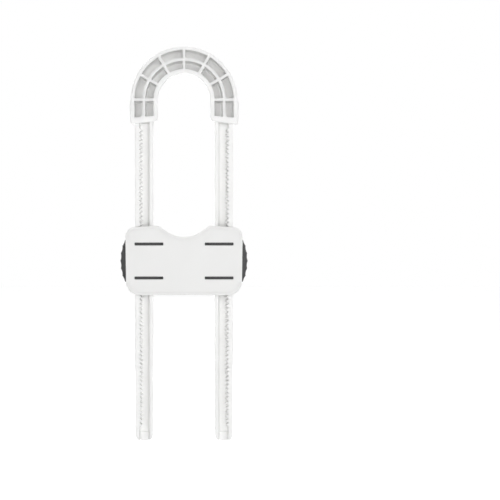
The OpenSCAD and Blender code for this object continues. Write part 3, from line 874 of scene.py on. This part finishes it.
def pad_rings(lines_up=221, steps=10):
    """The pad as rings from back to front. Its outer line is the smooth least of a large circle and of the
    circles that hollow it between the ridges, and it falls away as a quarter ellipse towards the pad's back,
    front and ends."""
    up = button_half * np.sin(np.linspace(-quarter, quarter, lines_up))
    crest = pad_radius + ridge_rise
    step = math.asin(ridge_pitch / crest)
    chord = crest * math.sin(step / 2)
    hollow = (chord ** 2 + ridge_dip ** 2) / (2 * ridge_dip)
    turn = (np.arange(ridges + 1) - ridges / 2)[:, None] * step
    reach = crest * math.cos(step / 2) - ridge_dip + hollow
    beside = up - reach * np.sin(turn)
    dips = reach * np.cos(turn) - np.sqrt(np.maximum(hollow ** 2 - beside ** 2, 0))
    dips = np.where(np.abs(beside) < hollow, dips, crest + 1)
    lines = np.concatenate([dips, np.sqrt(crest ** 2 - up ** 2)[None]])
    least = crest - ridge_soft * np.log(np.sum(np.exp(-(lines - crest) / ridge_soft), 0))
    outer = pad_top - pad_radius + least
    end = np.clip((np.abs(up) - button_half + pad_end_round) / pad_end_round, 0, 1)
    outer = outer - pad_end_round * (1 - np.sqrt(1 - end ** 2))
    lean = np.linspace(quarter, 0, steps + 1)
    fall = np.concatenate([1 - np.cos(lean), [0], (1 - np.cos(lean))[::-1]])[:, None]
    depth = pad_round * (1 - np.sin(lean))
    middle = (pad_back + pad_front) / 2
    depth = np.concatenate([pad_back + depth, [middle], pad_front - depth[::-1]])[:, None]
    height = up * (1 - pad_end_round * fall / button_half)
    x = outer - pad_drop * fall
    inner = pad_in + 0 * height[:, :1]
    x = np.concatenate([x, inner, inner], 1)
    height = np.concatenate([height, height[:, -1:], height[:, :1]], 1)
    return np.stack([x, depth + 0 * x, height], 2)


def pawl_skin():
    """The pawl: its teeth are a zigzag at the leg's pitch, and its front end is drawn in at the edge."""
    half = pawl_teeth / 2
    up = tooth_pitch * (np.arange(2 * pawl_teeth + 1) / 2 - half)
    x = np.where(np.arange(up.size) % 2, pawl_tip, pawl_root)
    back = pawl_root - pawl_back
    plan = np.concatenate([np.stack([x, up], 1), [[back, up[-1]], [back, up[0]]]])
    centre = np.array([pawl_root - pawl_back / 2, 0])
    depth = np.array([pad_back + bar_edge, pawl_front - bar_edge, pawl_front])
    size = np.array([1, 1, pawl_shrink])
    flat = centre + (plan - centre)[None] * size[:, None, None]
    return closed(np.stack([flat[..., 0], depth[:, None] + 0 * flat[..., 0], flat[..., 1]], 2))


def button_skin():
    """The button's solids as one skin."""
    coil = coil_radius + wire_radius
    middle = (post_in + post_out) / 2
    ribs = [bar((rib_in, rib_back, up - rib_half), (rib_out, arm_front - bite, up + rib_half))
            for up in (-rib_up, rib_up)]
    return carve(bar((arm_in, pad_back, -arm_half), (pad_in + arm_bite, arm_front, arm_half)), ribs + [
        closed(pad_rings()),
        pawl_skin(),
        bar((post_in, pad_back + bite, -coil), (post_out, spring_depth + coil, coil)),
        peg(stub_radius, post_in - stub_length, middle, bar_edge, (0, spring_depth, 0), across_first)
    ], "UNION")


# The buttons' material: dark grey polypropylene out of a spark-eroded tool. The fine grain of such a tool
# spreads the light so wide that the pads look matt, paler where they turn to the lamp.
spark_grey = moulded("spark_grained_grey_polypropylene", ("#404041", "#3B3B3C"), gloss=(0.5, 0.62),
                     peel=(0.8, 0.008), grain=(0.22, 0.006), clear_mm=0)

for side, name in zip(both_sides, ("left", "right")):
    button = as_piece(name + "_button_moulding", [button_skin()], button_line, side)
    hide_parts(name + "_button")
    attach(button, name + "_button")
    button.data.materials.append(spark_grey)

# The slider's back cover: a flat plate of the covers' white that drops into the front cover's rim, with two
# ears that close the windows, four slots for the buttons' ribs and four pins that stand in the bosses.
plate_seam = 0.03
plate_edge = 0.03
ear_half = window_half - plate_seam
ear_corner = 0.35
slot_in = 11.15
slot_out = 26.85
slot_half = 0.8
slot_corner = 0.35
pin_edge = 0.3
pin_root = 1


def plate_corners():
    """The housing's corners set in to the plate's edge: a corner moves in along its bisector by the inset
    over the sine of half its angle, and its radius shrinks or grows by the inset. The ears' corners go
    between."""
    inset = seat_rim + plate_seam
    _, bisector, half, turn = at_corners(housing[:, :2])
    moved = housing[:, :2] + bisector * (turn * inset / np.sin(half))[:, None]
    corners = np.column_stack([moved, housing[:, 2] - turn * inset])
    up = np.array([-ear_half, -ear_half, ear_half, ear_half])
    out = foot_half + (up - foot_down) * side_lean - np.array([inset, 0, 0, inset])
    ear = np.column_stack([out, up, ear_corner + 0 * up])
    return np.concatenate([corners[:1], ear, corners[1:-1], ear[::-1] * [-1, 1, 1], corners[-1:]])


def slot_cutter(side, up):
    """One slot: an oblong with small corners, flared where it meets the plate's back face."""
    corners = [[slot_in, up - slot_half, slot_corner], [slot_out, up - slot_half, slot_corner],
               [slot_out, up + slot_half, slot_corner], [slot_in, up + slot_half, slot_corner]]
    stations = [plate_out - overshoot, plate_out + plate_edge, plate_in + overshoot]
    rings = prism(corners, stations, [overshoot + plate_edge, 0, 0])
    return closed(rings[..., [0, 2, 1]] * [side, 1, 1])


plate_in_round, plate_drop = edge_profile(plate_edge)
plate_stations = np.concatenate([plate_out + plate_drop[::-1], plate_in - plate_drop])
plate_grows = -np.concatenate([plate_in_round[::-1], plate_in_round])
plate = closed(prism(plate_corners(), plate_stations, plate_grows, 16)[..., [0, 2, 1]])
plate = carve(plate, [slot_cutter(side, up) for side in both_sides for up in (-rib_up, rib_up)])
pins = [peg(pin_radius, plate_in - pin_root, pin_front, pin_edge, (side * pin_across, 0, up), into_depth)
        for side in both_sides for up in pins_up]
back_cover = as_piece("back_cover_moulding", [carve(plate, pins, "UNION")], button_line)
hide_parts("back_cover")
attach(back_cover, "slider")
back_cover.data.materials.append(satin_white)

# The stage: a pale floor well below the lock, white all round, and a camera 0.7 m behind the lock's back,
# which leaves the right half of the picture empty. Soft lamps stand behind and in front, each side with a
# key from its upper right and another that fills the hollows, and more stand above and beside.
picture = 500
lens_px = 1282
camera_back = 0.697
camera_up = -0.0654
camera_tilt = math.radians(1.335)
lock_px = 184
sensor = 36
lock_middle = (0, 0, -0.08)
floor_up = -0.31
floor_half = 4

camera_data = bpy.data.cameras.new("camera")
camera_data.sensor_width = sensor
camera_data.lens = sensor * lens_px / picture
camera_data.shift_x = 0.5 - lock_px / picture
camera_data.clip_start = 0.01
camera = bpy.data.objects.new("camera", camera_data)
camera.location = (0, camera_back, camera_up)
camera.rotation_euler = (quarter - camera_tilt, 0, math.pi)
bpy.context.scene.collection.objects.link(camera)
bpy.context.scene.camera = camera


def lamp(name, place, power, size):
    """A square soft lamp at a place, turned towards the middle of the lock."""
    data = bpy.data.lights.new(name, "AREA")
    data.energy = power
    data.size = size
    light = bpy.data.objects.new(name, data)
    light.visible_camera = False
    light.location = place
    towards = np.array(lock_middle) - np.array(place)
    flat = math.hypot(towards[0], towards[1])
    light.rotation_euler = (math.atan2(flat, -towards[2]), 0, math.atan2(-towards[0], towards[1]))
    bpy.context.scene.collection.objects.link(light)


lamp("back_key", (-0.75, 1.4, 0.3), 6.0, 0.7)
lamp("back_fill", (0.03, 1.4, -0.1), 6.8, 0.65)
lamp("front_key", (0.35, -1.15, 0.3), 5.0, 1.2)
lamp("front_low", (0.1, -0.8, -0.27), 1.6, 0.5)
lamp("top_fill", (0, -0.3, 1.3), 6, 1.0)
lamp("left_fill", (-1.2, -0.5, 0), 3.4, 1.0)
lamp("right_fill", (1.3, 0, 0), 1.6, 1.0)

floor_mesh = bpy.data.meshes.new("floor")
floor_corners = [(x * floor_half, y * floor_half, floor_up) for x, y in ((-1, -1), (1, -1), (1, 1), (-1, 1))]
floor_mesh.from_pydata(floor_corners, [], [(0, 1, 2, 3)])
floor = bpy.data.objects.new("floor", floor_mesh)
bpy.context.scene.collection.objects.link(floor)

# White card: the floor's own white holds its shadows, and what the camera sees of it is lifted to white.
card_lift = 0.7
card = bpy.data.materials.new("white_card")
card.use_nodes = True
card_tree = card.node_tree
card_shader = card_tree.nodes["Principled BSDF"]
card_shader.inputs["Base Color"].default_value = linear("#F0F0F0")
card_shader.inputs["Roughness"].default_value = 0.9
card_shader.inputs["Emission Color"].default_value = (1, 1, 1, 1)
seen = add(card_tree, "ShaderNodeLightPath")
lift = add(card_tree, "ShaderNodeMath", {"operation": "MULTIPLY"}, {0: seen.outputs["Is Camera Ray"]})
lift.inputs[1].default_value = card_lift
card_tree.links.new(card_shader.inputs["Emission Strength"], lift.outputs["Value"])
floor.data.materials.append(card)

room_light = 0.27
world = bpy.data.worlds.new("studio")
world.use_nodes = True
bpy.context.scene.world = world
room = world.node_tree
path = add(room, "ShaderNodeLightPath")
direct = add(room, "ShaderNodeMath", {"operation": "MAXIMUM"},
             {0: path.outputs["Is Camera Ray"], 1: path.outputs["Is Glossy Ray"]})
white = add(room, "ShaderNodeMath", {"operation": "MAXIMUM"},
            {0: direct.outputs["Value"], 1: path.outputs["Is Transmission Ray"]})
strength = add(room, "ShaderNodeMapRange", {"To Min": room_light, "To Max": 1.0},
               {"Value": white.outputs["Value"]})
backdrop = room.nodes["Background"]
backdrop.inputs["Color"].default_value = (1, 1, 1, 1)
room.links.new(backdrop.inputs["Strength"], strength.outputs["Result"])
bpy.context.scene.view_settings.view_transform = "Standard"
